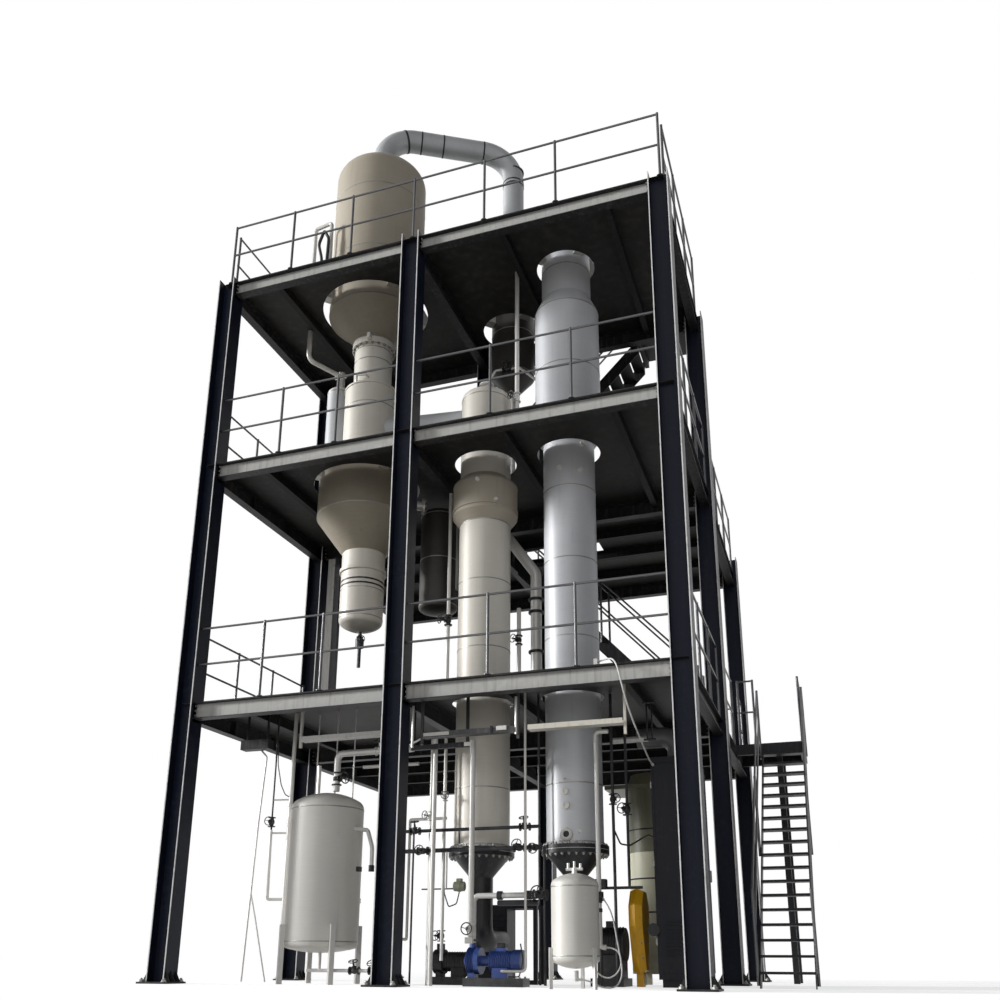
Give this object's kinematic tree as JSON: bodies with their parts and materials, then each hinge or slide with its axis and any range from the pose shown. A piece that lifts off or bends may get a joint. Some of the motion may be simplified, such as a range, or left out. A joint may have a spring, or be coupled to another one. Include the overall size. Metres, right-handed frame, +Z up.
{
  "type": "mechanical vapor recompression evaporator plant",
  "caption": "Evaporator and crystalliser plant: vessels, heaters, ducts, tanks, pumps and compressor in a bolted steel frame with decks, guard rails and stairs.",
  "frame": {"origin": "centre of the plant's footprint box at ground level, under the base plates", "axes": "+Z up, -Y towards the front that the picture shows, +X towards the outside stair"},
  "size_m": [9.078, 7.93, 15.943],
  "materials": {
    "column_paint": "satin dark navy paint",
    "beam_paint": "matt grey paint",
    "plate_paint": "worn dark grey paint",
    "rail_steel": "satin stainless tube",
    "vessel_steel": "satin stainless sheet",
    "pipe_steel": "satin stainless pipe",
    "tray_steel": "dusty galvanised",
    "pump_blue": "gloss blue enamel",
    "pump_dark": "dark grey enamel",
    "guard_orange": "gloss orange enamel",
    "silencer_cream": "satin cream paint",
    "cabinet_grey": "satin grey paint",
    "hose_white": "smooth white rubber",
    "enclosure_dark": "satin near black paint"
  },
  "bodies": {
    "root": {"columns": "column_paint", "column_bases": "column_paint", "deck_1_beams": "beam_paint", "deck_2_beams": "beam_paint", "deck_3_beams": "beam_paint", "floor_joists": "beam_paint", "deck_1_floor": "plate_paint", "deck_2_floor": "plate_paint", "deck_3_floor": "plate_paint", "deck_1_rails": "rail_steel", "deck_2_rails": "rail_steel", "deck_3_rails": "rail_steel", "stair_stringers": "column_paint", "stair_treads": "plate_paint", "stair_rails": "rail_steel", "stair_landings": "plate_paint", "landing_posts": "column_paint", "separator_head": "vessel_steel", "separator_shell": "vessel_steel", "separator_funnel": "vessel_steel", "crystalliser_crown": "vessel_steel", "crystalliser_body": "vessel_steel", "crystalliser_cone": "vessel_steel", "salt_leg": "vessel_steel", "salt_leg_bottom": "vessel_steel", "heater_1_cap": "vessel_steel", "heater_1_channel": "vessel_steel", "heater_1_shell": "vessel_steel", "heater_2_head": "vessel_steel", "heater_2_jacket": "vessel_steel", "heater_2_shell": "vessel_steel", "heater_bottoms": "pump_dark", "demister_shell": "vessel_steel", "demister_ends": "vessel_steel", "vapour_duct_elbows": "vessel_steel", "vapour_duct_run": "vessel_steel", "crossover_duct": "vessel_steel", "vessel_brackets": "vessel_steel", "wash_tank": "vessel_steel", "air_receiver": "vessel_steel", "buffer_tank": "vessel_steel", "tank_ends": "vessel_steel", "tank_legs": "pipe_steel", "feed_pump": "pump_blue", "circulation_pump": "pump_dark", "compressor_enclosure": "enclosure_dark", "belt_guard": "guard_orange", "silencer": "silencer_cream", "blower_motor": "pump_dark", "compressor_duct": "cabinet_grey", "condensate_pot": "vessel_steel", "control_cabinet": "enclosure_dark", "cable_trays": "tray_steel", "process_pipes": "pipe_steel", "service_pipes": "pump_dark", "hose_fittings": "pipe_steel", "deck_hose": "hose_white", "drain_hose": "hose_white", "air_hose": "hose_white"}
  },
  "joints": []
}
